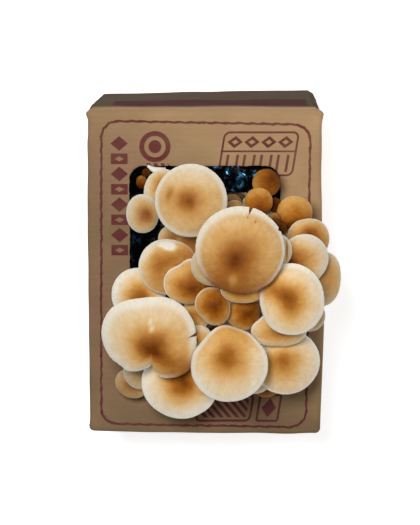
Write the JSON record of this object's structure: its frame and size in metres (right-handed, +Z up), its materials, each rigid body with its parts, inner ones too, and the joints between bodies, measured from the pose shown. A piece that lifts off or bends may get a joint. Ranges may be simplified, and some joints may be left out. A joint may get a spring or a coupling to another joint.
{
  "type": "mushroom grow kit",
  "caption": "Mushroom grow kit: a plain carton lying on its back, with bunches of round-capped mushrooms growing up through the window in its front.",
  "frame": {"origin": "middle of the carton's back, the face that it lies on", "axes": "+Z up, out of the window and along the mushrooms; +Y towards the carton's top end; +X to the right, seen from above with the top end away"},
  "size_m": [0.1567, 0.204, 0.2218],
  "materials": {
    "kraft_board": "matte brown kraft board with a plain dark red printed border",
    "black_film": "crumpled glossy black film",
    "substrate": "sawdust bound by pale mycelium",
    "cap_skin": "satin, brown in the middle and cream at the rim",
    "stem_flesh": "matte cream, fibrous"
  },
  "bodies": {
    "root": {"carton": "kraft_board", "grow_bag": "black_film", "substrate_block": "substrate", "stem_bunch_01": "stem_flesh", "stem_bunch_02": "stem_flesh", "stem_bunch_03": "stem_flesh", "stem_bunch_04": "stem_flesh", "stem_bunch_05": "stem_flesh", "stem_bunch_06": "stem_flesh", "stem_bunch_07": "stem_flesh", "stem_bunch_08": "stem_flesh", "stem_bunch_09": "stem_flesh", "stem_bunch_10": "stem_flesh", "cap_01": "cap_skin", "cap_02": "cap_skin", "cap_03": "cap_skin", "cap_04": "cap_skin", "cap_05": "cap_skin", "cap_06": "cap_skin", "cap_07": "cap_skin", "cap_08": "cap_skin", "cap_09": "cap_skin", "cap_10": "cap_skin", "cap_11": "cap_skin", "cap_12": "cap_skin", "cap_13": "cap_skin", "cap_14": "cap_skin", "cap_15": "cap_skin", "cap_16": "cap_skin", "cap_17": "cap_skin", "cap_18": "cap_skin", "cap_19": "cap_skin", "cap_20": "cap_skin", "cap_21": "cap_skin", "cap_22": "cap_skin", "cap_23": "cap_skin", "cap_24": "cap_skin", "cap_25": "cap_skin", "cap_26": "cap_skin", "cap_27": "cap_skin", "cap_28": "cap_skin", "cap_29": "cap_skin", "cap_30": "cap_skin", "cap_31": "cap_skin", "cap_32": "cap_skin", "cap_33": "cap_skin", "cap_34": "cap_skin", "cap_35": "cap_skin", "cap_36": "cap_skin", "cap_37": "cap_skin", "cap_38": "cap_skin", "cap_39": "cap_skin", "cap_40": "cap_skin"}
  },
  "joints": []
}
